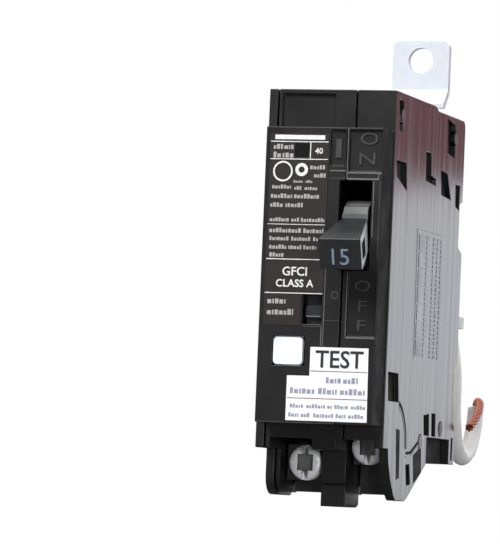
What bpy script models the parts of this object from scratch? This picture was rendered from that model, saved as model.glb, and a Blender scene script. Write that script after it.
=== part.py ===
"""One-pole bolt-on ground-fault circuit breaker with a coiled neutral pigtail.

Lengths are in millimetres and become metres in the helpers. X is the width, -Y the front with
the handle, +Y the rear, +Z the line end with the tab. Parts are laid out with Z = 0 at the tip
of the load end, and an empty then moves the frame's origin to the middle of the rear seat.
"""

import math

import bmesh
import bpy
from mathutils import Vector

MM = 0.001
GAP = 0.3

# Housing
HALF_WIDTH = 12.7
TOP_Z = 79.6
REAR_TOP_Z = 78.8
SEAT_Z = 41.0
SHOULDER_Y = -53.5
FACE_Y = -60.65
FACE_LOW_Z, FACE_HIGH_Z = 15.4, 71.7
FACE_LEFT_X, FACE_RIGHT_X = -10.8, 12.4
COVER_X = -10.95
SEAM_X = 4.8
FACE_SEAM_X = 5.3
CHAMBER_Y = -45.9
FLOOR_Z = 2.5
LIP_Z = 10.7
CEILING_Z = 12.8
CHAMBER_TOP_Z = 16.3
LIP_BACK_Y = -50.6
REAR_FOOT_Z = 9.6
BAY_Y = (-51.8, -5.2)
BAY_Z = (18.2, 77.4)
LEFT_BAY_X = (COVER_X - 1.0, -2.2)
RIGHT_BAY_X = (-0.6, 10.9)
LEFT_CHAMBER_X = (-9.8, -1.4)
RIGHT_CHAMBER_X = (3.4, 10.9)
CHAMBER_BACK_Y = -31.0

# Handle and mechanism
HANDLE_X = 7.2
HANDLE_Y, HANDLE_Z = -52.4, 53.2
HANDLE_TILT = math.radians(20)
DRUM_R = 7.9
ARM_Y, ARM_Z = -26.0, 49.0
ARM_X = 5.2
CRADLE_Y, CRADLE_Z = -31.0, 70.0

# Line tab
TAB_X = 5.4
TAB_WIDTH = 11.6
TAB_TOP_Z = 93.9
TAB_HOLE_Z = 90.0
TAB_HOLE_R = 2.6
TAB_T = 1.5
TAB_Y = -8.9

# Terminals
SCREW_R = 3.45
LEFT_SCREW = (-5.2, 8.3)
RIGHT_SCREW = (7.2, 11.7)
SCREW_HEAD_Y = -44.6

# Pigtail
WIRE_D = 3.3
COIL_X, COIL_Y, COIL_Z = -7.6, 20.6, 40.0
COIL_R = 16.5
COIL_TURNS = 2.5
COIL_PITCH = 3.4
WIRE_EXIT_Z = COIL_Z - COIL_R


def material(name, color, roughness, metallic=0.0):
    mat = bpy.data.materials.new(name)
    mat.use_nodes = True
    shader = mat.node_tree.nodes["Principled BSDF"]
    shader.inputs["Base Color"].default_value = (*color, 1)
    shader.inputs["Roughness"].default_value = roughness
    shader.inputs["Metallic"].default_value = metallic
    return mat


def clear_scene():
    for obj in list(bpy.data.objects):
        bpy.data.objects.remove(obj)


def collection(name):
    made = bpy.data.collections.new(name)
    bpy.context.scene.collection.children.link(made)
    return made


clear_scene()
PARTS = collection("gfci_breaker")
CUTTERS = collection("cutters")
ORIGIN = bpy.data.objects.new("rear_seat_centre", None)
ORIGIN.location = (0, 0, -SEAT_Z * MM)
PARTS.objects.link(ORIGIN)

CASE = material("case_plastic", (0.015, 0.014, 0.015), 0.35)
COVER = material("cover_plastic", (0.03, 0.03, 0.033), 0.3)
PRINT = material("label_print", (0.03, 0.022, 0.022), 0.5)
PAPER = material("sticker_paper", (0.85, 0.85, 0.86), 0.6)
HANDLE = material("handle_plastic", (0.02, 0.02, 0.021), 0.4)
WHITE = material("white_plastic", (0.8, 0.84, 0.88), 0.4)
ZINC = material("zinc_steel", (0.75, 0.76, 0.78), 0.35, 1)
STEEL = material("bright_steel", (0.62, 0.62, 0.63), 0.3, 1)
COPPER = material("copper", (0.72, 0.33, 0.2), 0.35, 1)
SILVER = material("silver_contact", (0.85, 0.84, 0.82), 0.25, 1)
FIBRE = material("grey_fibre", (0.42, 0.4, 0.37), 0.8)
BOARD = material("board_laminate", (0.05, 0.22, 0.1), 0.45)
FERRITE = material("toroid_coat", (0.1, 0.13, 0.2), 0.5)
TAPE = material("winding_tape", (0.75, 0.55, 0.12), 0.5)
DARK = material("epoxy_black", (0.02, 0.02, 0.02), 0.5)
BLUE = material("varistor_blue", (0.05, 0.16, 0.5), 0.4)
WIRE = material("wire_white", (0.85, 0.85, 0.83), 0.45)
TIE = material("tie_nylon", (0.8, 0.8, 0.76), 0.5)


def adopt(obj, name, mat):
    """Names a finished part and puts it in the parts collection under the origin."""
    obj.name = name
    obj.data.name = name
    obj.data.materials.clear()
    obj.data.materials.append(mat)
    for owner in list(obj.users_collection):
        owner.objects.unlink(obj)
    PARTS.objects.link(obj)
    obj.parent = ORIGIN
    return obj


def as_cutter(obj):
    """Hides a shape that only cuts or joins others."""
    for owner in list(obj.users_collection):
        owner.objects.unlink(obj)
    CUTTERS.objects.link(obj)
    obj.parent = ORIGIN
    obj.hide_render = True
    obj.display_type = "WIRE"
    return obj


def boolean(obj, other, operation):
    mod = obj.modifiers.new(operation.lower(), "BOOLEAN")
    mod.operation = operation
    mod.solver = "EXACT"
    mod.object = as_cutter(other)


def cut(obj, *others):
    for other in others:
        boolean(obj, other, "DIFFERENCE")
    return obj


def join(obj, *others):
    for other in others:
        boolean(obj, other, "UNION")
    return obj


def bevel(obj, width, segments=1):
    mod = obj.modifiers.new("bevel", "BEVEL")
    mod.width = width * MM
    mod.segments = segments
    mod.limit_method = "ANGLE"
    return obj


def block(low, high):
    """A box between two corners."""
    size = [abs(b - a) * MM for a, b in zip(low, high)]
    centre = [(a + b) / 2 * MM for a, b in zip(low, high)]
    bpy.ops.mesh.primitive_cube_add(size=1, location=centre)
    obj = bpy.context.object
    obj.data.transform(((size[0], 0, 0, 0), (0, size[1], 0, 0), (0, 0, size[2], 0), (0, 0, 0, 1)))
    return obj


TURN = {"X": (0, math.pi / 2, 0), "Y": (math.pi / 2, 0, 0), "Z": (0, 0, 0)}


def rod(axis, centre, radius, length, sides=24):
    """A cylinder along a row axis."""
    place = [c * MM for c in centre]
    bpy.ops.mesh.primitive_cylinder_add(
        vertices=sides, radius=radius * MM, depth=length * MM, location=place, rotation=TURN[axis]
    )
    return smooth(bpy.context.object)


def smooth(obj):
    obj.data.shade_smooth()
    obj.data.set_sharp_from_angle(angle=math.radians(35))
    return obj


def to_mesh(curve):
    """Turns a curve object into a mesh object with its caps welded."""
    graph = bpy.context.evaluated_depsgraph_get()
    mesh = bpy.data.meshes.new_from_object(curve.evaluated_get(graph))
    bm = bmesh.new()
    bm.from_mesh(mesh)
    bmesh.ops.remove_doubles(bm, verts=bm.verts, dist=1e-6)
    bmesh.ops.recalc_face_normals(bm, faces=bm.faces)
    bm.to_mesh(mesh)
    bm.free()
    obj = bpy.data.objects.new(curve.name, mesh)
    obj.matrix_world = curve.matrix_world.copy()
    bpy.context.scene.collection.objects.link(obj)
    bpy.data.objects.remove(curve)
    return obj


def flat(outlines, low, high, plane="YZ"):
    """Extrudes closed outlines in the YZ, XZ or XY plane from low to high; later outlines are holes."""
    curve = bpy.data.curves.new("outline", "CURVE")
    curve.dimensions = "2D"
    curve.fill_mode = "BOTH"
    curve.extrude = abs(high - low) / 2 * MM
    for points in outlines:
        spline = curve.splines.new("POLY")
        spline.points.add(len(points) - 1)
        for point, (a, b) in zip(spline.points, points):
            point.co = (a * MM, b * MM, 0, 1)
        spline.use_cyclic_u = True
    obj = bpy.data.objects.new("outline", curve)
    middle = (low + high) / 2 * MM
    if plane == "YZ":
        obj.location = (middle, 0, 0)
        obj.rotation_euler = (math.pi / 2, 0, math.pi / 2)
    elif plane == "XZ":
        obj.location = (0, middle, 0)
        obj.rotation_euler = (math.pi / 2, 0, 0)
    else:
        obj.location = (0, 0, middle)
    bpy.context.scene.collection.objects.link(obj)
    bpy.context.view_layer.update()
    return to_mesh(obj)


def arc(centre, radius, start, stop, steps):
    """Points on an arc, in degrees."""
    angles = [math.radians(start + (stop - start) * i / steps) for i in range(steps + 1)]
    return [(centre[0] + radius * math.cos(a), centre[1] + radius * math.sin(a)) for a in angles]


def rounded(low, high, radius, steps=4):
    """A rectangle's outline with round corners."""
    (a0, b0), (a1, b1) = low, high
    r = radius
    return (
        arc((a1 - r, b1 - r), r, 0, 90, steps)
        + arc((a0 + r, b1 - r), r, 90, 180, steps)
        + arc((a0 + r, b0 + r), r, 180, 270, steps)
        + arc((a1 - r, b0 + r), r, 270, 360, steps)
    )


def tube(points, diameter, resolution=2):
    """A round wire along points."""
    curve = bpy.data.curves.new("wire", "CURVE")
    curve.dimensions = "3D"
    curve.bevel_depth = diameter / 2 * MM
    curve.bevel_resolution = resolution
    curve.use_fill_caps = True
    spline = curve.splines.new("POLY")
    spline.points.add(len(points) - 1)
    for point, place in zip(spline.points, points):
        point.co = (*[c * MM for c in place], 1)
    obj = bpy.data.objects.new("wire", curve)
    bpy.context.scene.collection.objects.link(obj)
    return obj


def through(knots, per_span):
    """A smooth curve through every knot, as points."""
    knots = [Vector(k) for k in knots]
    padded = [2 * knots[0] - knots[1], *knots, 2 * knots[-1] - knots[-2]]
    points = []
    for a, b, c, d in zip(padded, padded[1:], padded[2:], padded[3:]):
        for i in range(per_span):
            t = i / per_span
            points.append(
                0.5 * (2 * b + (c - a) * t + (2 * a - 5 * b + 4 * c - d) * t * t
                       + (3 * b - a - 3 * c + d) * t ** 3)
            )
    return points + [knots[-1]]


def turned(profile, axis, centre, sides=24):
    """Turns a closed profile of (radius, height) points about an axis, with a Screw modifier."""
    mesh = bpy.data.meshes.new("profile")
    loop = zip(profile, profile[1:] + profile[:1])
    if sum(r0 * h1 - r1 * h0 for (r0, h0), (r1, h1) in loop) > 0:
        profile = profile[::-1]  # the outer side has to run from top to bottom
    points = [(r * MM, 0, h * MM) for r, h in profile]
    edges = [(i, (i + 1) % len(points)) for i in range(len(points))]
    mesh.from_pydata(points, edges, [])
    obj = bpy.data.objects.new("turned", mesh)
    bpy.context.scene.collection.objects.link(obj)
    mod = obj.modifiers.new("turn", "SCREW")
    mod.steps = mod.render_steps = sides
    mod.use_merge_vertices = True
    mod.merge_threshold = 1e-6
    mod.use_smooth_shade = False
    obj.location = [c * MM for c in centre]
    obj.rotation_euler = TURN[axis]
    return obj


def coil_spring(axis, centre, radius, wire, length, turns):
    """A spring's wire as a tube, centred on its middle."""
    steps = 10
    count = int(turns * steps)
    points = []
    for i in range(count + 1):
        a = 2 * math.pi * i / steps
        along = (i / count - 0.5) * length
        u, v = radius * math.cos(a), radius * math.sin(a)
        offset = {"X": (along, u, v), "Y": (u, along, v), "Z": (u, v, along)}[axis]
        points.append([c + o for c, o in zip(centre, offset)])
    return tube(points, wire, 1)


# --- Housing ---------------------------------------------------------------------------------

REAR = [
    (-1.9, REAR_TOP_Z), (-0.9, 77.8), (-0.9, 62.4), (-3.0, 61.8), (-3.0, 53.2), (0, 52.2),
    (0, 30.2), (-3.1, 29.2), (-3.1, 20.2), (0, 16.0), (0, REAR_FOOT_Z),
]
TOP = [(SHOULDER_Y, TOP_Z), (-24, TOP_Z), (-22, REAR_TOP_Z)]


def cover_outline(bottom_z):
    """The left cover: a plain load end with a round front corner."""
    r = 3.5
    return (
        TOP + REAR + [(-20.5, REAR_FOOT_Z), (-34.0, bottom_z)]
        + arc((CHAMBER_Y + r, bottom_z + r), r, 270, 180, 4)
        + [(CHAMBER_Y, LIP_Z), (SHOULDER_Y, LIP_Z)]
    )


def ear_outline():
    """The right cover: its ear sweeps down in front of the load terminal."""
    return (
        TOP + REAR + [(-20.5, REAR_FOOT_Z), (-34.6, 2.3), (-36.5, 1.6), (-43.2, 1.6)]
        + [(-44.9, 2.6), (-47.6, 5.6), (-49.4, 9.0), (-49.9, LIP_Z + 0.6), (SHOULDER_Y, LIP_Z + 0.6)]
    )


def handle_window():
    return block((4.05, FACE_Y - 2, 44.6), (10.4, BAY_Y[0] + 1, 61.6))


def terminal_chamber(x_range):
    """The open-fronted chamber, and its taller part behind the lip."""
    low = block((x_range[0], SHOULDER_Y - 5, -2), (x_range[1], CHAMBER_BACK_Y, CEILING_Z))
    high = block((x_range[0], LIP_BACK_Y, 8), (x_range[1], CHAMBER_BACK_Y, CHAMBER_TOP_Z))
    return low, high


def strap_slot(x0, x1):
    return block((x0, -35.0, 15), (x1, -33.5, 20))


def bay(x_range):
    """The hollow behind the face, with the deeper part inside the raised face."""
    deep = block((x_range[0], FACE_Y + 1.7, 18.0), (x_range[1], BAY_Y[0] + 2, 69.6))
    main = block((x_range[0], BAY_Y[0], BAY_Z[0]), (x_range[1], BAY_Y[1], BAY_Z[1]))
    return main, deep


def tab_slot():
    return block((TAB_X - 4.3, -13.8, 76), (TAB_X + 4.3, -11.5, 81))


def corner_rivets(radius, x0, x1):
    return [rod("X", ((x0 + x1) / 2, y, z), radius, x1 - x0, 16) for y, z in RIVETS]


RIVETS = [(-48.6, 75.2), (-8.2, 74.6), (-11.5, 16.4), (-26.6, 13.4)]


def left_cover():
    obj = flat([cover_outline(1.9)], -HALF_WIDTH, COVER_X)
    cut(obj, *corner_rivets(1.5, -14, -10))
    return adopt(obj, "left_cover", CASE)


def center_case():
    outline = cover_outline(FLOOR_Z)
    obj = flat([outline], COVER_X + GAP, SEAM_X - 0.15)
    face = block((FACE_LEFT_X, FACE_Y, FACE_LOW_Z), (SEAM_X - 0.15, SHOULDER_Y + 1, FACE_HIGH_Z))
    edge = block((SEAM_X - 1, FACE_Y, FACE_LOW_Z), (FACE_SEAM_X - 0.15, SHOULDER_Y - GAP, FACE_HIGH_Z))
    tip = flat([[(-1.4, 0), (2.9, 0), (3.4, 0.6), (3.4, 4), (-1.4, 4)]], CHAMBER_Y, -36, "XZ")
    join(obj, face, edge, tip)
    cut(obj, *bay(LEFT_BAY_X), *bay((RIGHT_BAY_X[0], SEAM_X + 1)))
    cut(obj, *terminal_chamber(LEFT_CHAMBER_X), *terminal_chamber(RIGHT_CHAMBER_X))
    cut(obj, strap_slot(-7.9, -3.1), strap_slot(4.5, 9.6))
    cut(obj, handle_window(), tab_slot())
    cut(obj, *corner_rivets(1.5, -14, 6))
    # Front openings: status window, test button, shallow channel, shoulder recess
    cut(obj, block((-2.3, FACE_Y - 1, 34.2), (1.5, FACE_Y + 3, 39.7)))
    cut(obj, block((-7.8, FACE_Y - 1, 26.2), (-1.5, FACE_Y + 4.6, 31.9)))
    cut(obj, block((-2.3, FACE_Y + 1.7, 32.3), (1.6, BAY_Y[0] + 1, 46.5)))
    cut(obj, block((2.0, FACE_Y - 1, 64.4), (FACE_SEAM_X - 0.5, FACE_Y + 0.6, FACE_HIGH_Z - 0.5)))
    cut(obj, block((-10.0, SHOULDER_Y - 1, FACE_HIGH_Z + 0.5), (0.5, SHOULDER_Y + 0.7, TOP_Z - 0.9)))
    # Trip opening in the partition and the wire outlet in the rear wall
    cut(obj, block((-3, -31, 51), (0, -25, 58)))
    cut(obj, rod("Y", (COIL_X, -3, WIRE_EXIT_Z), 2.5, 10, 20))
    return adopt(obj, "center_case", CASE)


SIDE_POCKETS = [
    [(-51.9, 66.4), (-44.6, 66.4), (-43.8, 61.2), (-51.3, 63.4)],
    [(-30.4, 70.0), (-26.6, 70.0), (-26.0, 65.6), (-22.3, 65.2), (-22.3, 64.0), (-30.0, 64.4)],
    [(-18.6, 67.4), (-13.5, 67.0), (-10.5, 62.2), (-18.0, 62.6)],
    [(-7.0, 65.5), (-3.4, 65.5), (-3.6, 60.6), (-6.6, 61.2)],
    [(-14.6, 78.0), (-9.0, 77.2), (-8.4, 70.6), (-14.0, 71.2)],
    [(-51.9, 25.9), (-44.6, 25.9), (-43.6, 20.5), (-51.2, 20.5)],
    [(-36.7, 8.6), (-34.0, 8.8), (-32.8, 5.0), (-35.6, 4.6)],
    [(-24.6, 18.6), (-20.6, 19.0), (-20.0, 14.8), (-24.0, 14.8)],
    [(-18.6, 19.2), (-15.6, 19.2), (-15.2, 14.8), (-18.2, 14.8)],
    [(-2.7, 14.8), (-1.5, 14.8), (-1.5, 10.4), (-2.7, 10.4)],
    [(-51.6, 78.0), (-48.4, 78.0), (-47.7, 75.2), (-51.0, 75.2)],
    [(-50.9, 73.8), (-48.6, 73.8), (-48.3, 72.2), (-50.7, 72.2)],
]


def right_cover():
    obj = flat([ear_outline()], SEAM_X + 0.15, HALF_WIDTH)
    face = block((FACE_SEAM_X + 0.15, FACE_Y, FACE_LOW_Z), (FACE_RIGHT_X, SHOULDER_Y + 1, FACE_HIGH_Z))
    join(obj, face)
    cut(obj, *bay((SEAM_X - 2, RIGHT_BAY_X[1])))
    cut(obj, *terminal_chamber(RIGHT_CHAMBER_X), strap_slot(4.5, 9.6))
    cut(obj, handle_window(), tab_slot())
    cut(obj, *corner_rivets(1.5, 4, 14))
    for points in SIDE_POCKETS:
        cut(obj, flat([points], HALF_WIDTH - 0.9, HALF_WIDTH + 1))
    # Stepped recess at the lower rear, and the ON and OFF panels in the face
    cut(obj, block((HALF_WIDTH - 1.3, -21.7, 8), (HALF_WIDTH + 1, -4.3, 14.4)))
    cut(obj, block((FACE_SEAM_X + 0.5, FACE_Y - 1, 63.4), (12.0, FACE_Y + 0.5, 71.2)))
    cut(obj, block((6.5, FACE_Y - 1, 32.1), (12.0, FACE_Y + 0.5, 44.0)))
    return adopt(obj, "right_cover", COVER)


def rivets():
    for i, (y, z) in enumerate(RIVETS, 1):
        shank = rod("X", (0, y, z), 1.1, 2 * HALF_WIDTH - 1.0, 16)
        heads = [rod("X", (side * (HALF_WIDTH - 0.35), y, z), 1.35, 0.9, 16) for side in (-1, 1)]
        join(shank, *heads)
        adopt(shank, f"case_rivet_{i}", STEEL)


# --- Front pieces ----------------------------------------------------------------------------

STICKER = [
    (-0.3, 29.9), (11.1, 29.9), (11.3, 15.9), (-4.7, 15.9), (-4.7, 24.4), (-0.3, 24.4),
]


def front_label():
    outline = [
        (-9.9, 70.4), (1.7, 70.4), (1.7, 40.1), (-2.6, 40.1), (-2.6, 33.9), (-9.9, 33.9),
    ]
    y = FACE_Y - GAP
    adopt(flat([outline], y - 0.2, y, "XZ"), "rating_label", PRINT)
    adopt(flat([STICKER], y - 0.2, y, "XZ"), "test_sticker", PAPER)


def test_button():
    y = FACE_Y - 0.5
    obj = flat([rounded((-7.5, 26.5), (-1.8, 31.6), 0.7)], y, FACE_Y + 2.4, "XZ")
    flange = block((-8.2, FACE_Y + 2.1, 25.8), (-2.4, FACE_Y + 3.2, 32.3))
    stem = rod("Y", (-4.65, FACE_Y + 5.0, 29.05), 0.8, 4.2, 12)
    join(obj, flange, stem)
    adopt(obj, "test_button", WHITE)
    spring = coil_spring("Y", (-4.65, FACE_Y + 7.0, 29.05), 1.7, 0.45, 6.6, 5)
    adopt(spring, "test_button_spring", STEEL)
    base = block((-8.2, -49.7, 25.6), (-3.0, -48.7, 32.5))
    post = block((-8.2, -49.2, 25.6), (-3.0, -46.8, 27.2))
    join(base, post)
    adopt(base, "test_contact_base", FIBRE)


def fault_flag():
    """The status flag behind its window: a plate with a raised bar, on a slide."""
    plate = block((-1.9, FACE_Y + 2.2, 32.7), (1.2, FACE_Y + 3.0, 43.5))
    bar = block((-1.9, FACE_Y + 1.2, 35.6), (1.2, FACE_Y + 2.4, 37.8))
    tail = block((-1.9, FACE_Y + 2.2, 42.4), (1.2, FACE_Y + 7.5, 43.5))
    join(plate, bar, tail)
    adopt(plate, "fault_flag", HANDLE)


# --- Handle and mechanism --------------------------------------------------------------------


def polar(centre, radius, degrees):
    a = math.radians(degrees)
    return (centre[0] - radius * math.cos(a), centre[1] + radius * math.sin(a))


def handle():
    """Drum sector, flared finger and inner fork, tilted down to OFF."""
    pivot = (HANDLE_Y, HANDLE_Z)
    half = 2.55
    sector = [polar(pivot, DRUM_R, -56 + 8 * i) for i in range(10)]
    steps = [polar(pivot, DRUM_R - 0.8, 17), polar(pivot, DRUM_R - 0.8, 22), polar(pivot, DRUM_R - 1.7, 22)]
    back = [polar(pivot, DRUM_R - 1.7, 28), polar(pivot, 2.6, 60), polar(pivot, 2.6, 180)]
    drum = flat([sector + steps + back + [polar(pivot, 2.6, 240)]], HANDLE_X - half, HANDLE_X + half)
    finger = finger_wedge(pivot)
    fork = flat(
        [[polar(pivot, 2.2, 100), polar(pivot, 9.0, 172), polar(pivot, 9.0, 188), polar(pivot, 2.2, 260)]],
        HANDLE_X - 1.2, HANDLE_X + 1.2,
    )
    join(drum, finger, fork)
    cut(drum, rod("X", (HANDLE_X, *pivot), 1.35, 12, 20))
    adopt(drum, "handle", HANDLE)
    adopt(rod("X", (HANDLE_X - 1.3, *pivot), 1.05, 8.4, 16), "handle_pin", STEEL)


def finger_wedge(pivot):
    """The finger flares in width from root to tip, so it is a tapered block turned to its tilt."""
    root, tip = 7.0, 17.8
    bpy.ops.mesh.primitive_cube_add(size=1)
    obj = bpy.context.object
    for vertex in obj.data.vertices:
        outer = vertex.co.y < 0
        reach = tip if outer else root
        wide = 4.1 if outer else 2.45
        high = 3.0 if outer else 3.9
        side = 1 if vertex.co.x > 0 else -1
        level = 1 if vertex.co.z > 0 else -1
        vertex.co = (side * wide * MM, -reach * MM, level * high * MM)
    obj.rotation_euler = (HANDLE_TILT, 0, 0)
    obj.location = (HANDLE_X * MM, pivot[0] * MM, pivot[1] * MM)
    return obj


def line_tab():
    """Jogged line tab: the bolt end stands above the case, the foot carries the fixed contact."""
    t = TAB_T
    side = [
        (TAB_Y, TAB_TOP_Z + 1), (TAB_Y, 83.6), (TAB_Y - 3.0, 80.6), (TAB_Y - 3.0, 62.0),
        (TAB_Y - 3.0 - t, 62.0), (TAB_Y - 3.0 - t, 81.2), (TAB_Y - t, 84.2), (TAB_Y - t, TAB_TOP_Z + 1),
    ]
    obj = flat([side], TAB_X - 10, TAB_X + 10)
    w, n, neck = TAB_WIDTH / 2, 4.0, 80.3
    front = arc((TAB_X + w - 1.2, TAB_TOP_Z - 1.2), 1.2, 0, 90, 4)
    front += arc((TAB_X - w + 1.2, TAB_TOP_Z - 1.2), 1.2, 90, 180, 4)
    front += [(TAB_X - w, neck), (TAB_X - n, neck), (TAB_X - n, 61), (TAB_X + n, 61), (TAB_X + n, neck)]
    front += [(TAB_X + w, neck)]
    boolean(obj, flat([front], -20, 0, "XZ"), "INTERSECT")
    cut(obj, rod("Y", (TAB_X, TAB_Y, TAB_HOLE_Z), TAB_HOLE_R, 8, 32))
    adopt(obj, "line_tab", ZINC)
    contact = rod("Y", (TAB_X, TAB_Y - 3 - t - GAP - 0.6, 64.2), 1.9, 1.2, 20)
    adopt(contact, "fixed_contact", SILVER)


def contact_arm():
    """Moving arm, open: its tip stands clear of the fixed contact."""
    pivot = (ARM_Y, ARM_Z)
    hub = rod("X", (ARM_X, *pivot), 3.0, 2.0, 24)
    bar = flat(
        [[(-28.4, 49.8), (-24.2, 47.2), (-19.5, 63.05), (-20.25, 66.6), (-22.8, 66.0), (-23.2, 62.0)]],
        ARM_X - 1.0, ARM_X + 1.0,
    )
    join(hub, bar)
    cut(hub, rod("X", (ARM_X, *pivot), 1.35, 6, 20))
    adopt(hub, "contact_arm", COPPER)
    adopt(rod("X", (ARM_X - 0.2, *pivot), 1.05, 9.6, 16), "arm_pin", STEEL)
    tip = rod("Y", (0, 0, 0), 1.5, 1.2, 20)
    tip.location = (ARM_X * MM, -19.0 * MM, 65.0 * MM)
    tip.rotation_euler = (math.pi / 2 + math.radians(12), 0, 0)
    adopt(tip, "moving_contact", SILVER)


def cradle():
    """Latch lever that holds the mechanism set until a trip."""
    outline = [(-33.5, 71.8), (-29.0, 72.0), (-27.5, 69.0), (-36.5, 63.2), (-44.5, 61.8), (-44.8, 63.6), (-37.5, 66.0)]
    obj = flat([outline], 7.0, 8.6)
    cut(obj, rod("X", (7.8, CRADLE_Y, CRADLE_Z), 1.15, 6, 16))
    adopt(obj, "latch_cradle", ZINC)
    adopt(rod("X", (5.2, CRADLE_Y, CRADLE_Z), 0.85, 10.6, 16), "cradle_pin", STEEL)
    adopt(coil_spring("Y", (2.6, -38.5, 57.0), 1.3, 0.5, 8.0, 7), "toggle_spring", STEEL)


def trip_unit():
    """Bimetal, magnet yoke, armature, braid and the strap down to the load terminal."""
    adopt(block((3.2, -36.1, 22.0), (8.8, -35.2, 49.0)), "bimetal_strip", ZINC)
    yoke = block((1.6, -33.4, 30.0), (10.4, -32.3, 38.0))
    wings = [block((x, -40.4, 30.0), (x + 1.1, -33.0, 38.0)) for x in (1.6, 9.3)]
    join(yoke, *wings)
    adopt(yoke, "magnet_yoke", STEEL)
    plate = block((2.0, -43.0, 29.5), (10.0, -42.0, 47.0))
    hook = block((4.5, -43.0, 46.0), (7.5, -39.2, 47.0))
    join(plate, hook)
    adopt(plate, "armature", ZINC)
    braid = through([(5.2, -29.7, 47.0), (5.2, -30.4, 44.6), (5.2, -32.2, 43.2), (5.2, -34.8, 43.0)], 5)
    adopt(tube(braid, 1.9, 2), "flexible_braid", COPPER)
    for name, x0, x1 in (("load", 4.9, 9.2), ("neutral", -7.5, -3.5)):
        adopt(block((x0, -34.6, 4.5), (x1, -33.9, 28.0)), f"{name}_strap", COPPER)


def arc_chute():
    """Side plates and a rear wall in one fibre frame around the steel plates."""
    frame = block((0.2, -22.0, 67.0), (10.2, -16.6, 76.4))
    hollow = block((1.4, -23.0, 66.0), (9.0, -17.4, 75.2))
    cut(frame, hollow)
    adopt(frame, "arc_chute_frame", FIBRE)
    for i in range(3):
        z = 69.4 + 2.1 * i
        plate = flat([[(-21.8, z), (-17.8, z), (-17.8, z + 0.8), (-21.8, z + 0.8)]], 1.8, 8.6)
        adopt(plate, f"arc_plate_{i + 1}", ZINC)


# --- Terminals -------------------------------------------------------------------------------


def terminal_screw(name, x, z):
    """Pan-head combination screw: slot and square-shouldered cross recess."""
    profile = [
        (0.01, 0), (SCREW_R - 0.9, 0), (SCREW_R - 0.25, -0.35), (SCREW_R, -1.0), (SCREW_R, -2.0),
        (2.0, -2.0), (2.0, -9.5), (0.01, -9.5),
    ]
    obj = smooth_turned(profile, (x, SCREW_HEAD_Y, z))
    slot = block((x - 0.6, SCREW_HEAD_Y - 1, z - 4), (x + 0.6, SCREW_HEAD_Y + 0.9, z + 4))
    square = block((x - 1.55, SCREW_HEAD_Y - 1, z - 1.55), (x + 1.55, SCREW_HEAD_Y + 1.6, z + 1.55))
    cut(obj, slot, square)
    return adopt(obj, name, ZINC)


def smooth_turned(profile, centre):
    """A solid of revolution about Y, from (radius, depth behind its front) points."""
    outline = [(r, -h) for r, h in profile]
    obj = turned(outline, "Z", (0, 0, 0), 28)
    obj.rotation_euler = (-math.pi / 2, 0, 0)
    obj.location = [c * MM for c in centre]
    return obj


def terminals():
    rows = (("neutral", LEFT_SCREW, LEFT_CHAMBER_X), ("load", RIGHT_SCREW, RIGHT_CHAMBER_X))
    for name, (x, z), (x0, x1) in rows:
        terminal_screw(f"{name}_screw", x, z)
        low, high = FLOOR_Z + 0.2, CEILING_Z - GAP
        plate = block((x0 + GAP, -36.4, low), (x1 - GAP, -34.9, high))
        cut(plate, rod("Y", (x, -36, z), 2.3, 6, 20))
        adopt(plate, f"{name}_lug", ZINC)
        clamp = block((x0 + 0.5, -42.3, z - 3.4), (x1 - 0.5, -41.1, min(z + 3.4, high)))
        cut(clamp, rod("Y", (x, -42, z), 2.3, 6, 20))
        adopt(clamp, f"{name}_clamp", ZINC)


# --- Ground-fault electronics ----------------------------------------------------------------


def electronics():
    adopt(block((-9.8, -47.6, 27.2), (-8.6, -6.6, 72.6)), "circuit_board", BOARD)
    for i, z in enumerate((46.0, 32.5), 1):
        ring = turned([(3.2, 0), (6.2, 0), (6.2, 4.4), (3.2, 4.4)], "X", (-7.9, -13.0, z), 28)
        adopt(ring, ("sense_toroid", "neutral_toroid")[i - 1], FERRITE)
    adopt(rod("X", (-5.4, -13.0, 46.0), 1.4, 5.6, 16), "sense_conductor", COPPER)
    adopt(rod("X", (-5.4, -13.0, 32.5), 1.4, 5.6, 16), "neutral_conductor", COPPER)
    bobbin = turned([(1.0, 0), (3.0, 0), (3.0, 12.0), (1.0, 12.0)], "Z", (-5.3, -28.0, 38.0), 24)
    adopt(bobbin, "trip_solenoid", TAPE)
    plunger = rod("Z", (-5.3, -28.0, 47.0), 0.75, 16.0, 16)
    cap = rod("Z", (-5.3, -28.0, 55.0), 1.9, 1.6, 20)
    finger = block((-5.3, -28.6, 54.4), (-1.0, -27.4, 55.6))
    join(plunger, cap, finger)
    adopt(plunger, "solenoid_plunger", STEEL)
    adopt(coil_spring("Z", (-5.3, -28.0, 52.0), 1.35, 0.4, 3.4, 4), "plunger_spring", STEEL)
    adopt(rod("Z", (-5.2, -40.5, 43.5), 2.7, 9.0, 24), "storage_capacitor", DARK)
    adopt(bevel(block((-8.3, -45.5, 54.0), (-3.6, -36.0, 58.6)), 0.5), "film_capacitor", TAPE)
    adopt(rod("X", (-6.6, -40.5, 66.0), 4.2, 2.4, 28), "surge_varistor", BLUE)
    adopt(block((-8.3, -30.0, 62.0), (-6.6, -22.0, 70.0)), "control_chip", DARK)
    adopt(rod("Z", (-6.9, -38.6, 30.0), 1.1, 6.5, 16), "drop_resistor", BLUE)


# --- Pigtail ---------------------------------------------------------------------------------


def helix_point(turn):
    """Centre of the wire after so many turns: it starts at the coil's lowest point going rearward."""
    a = 2 * math.pi * turn
    return (
        COIL_X + COIL_PITCH * turn,
        COIL_Y + COIL_R * math.sin(a),
        COIL_Z - COIL_R * math.cos(a),
    )


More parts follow.
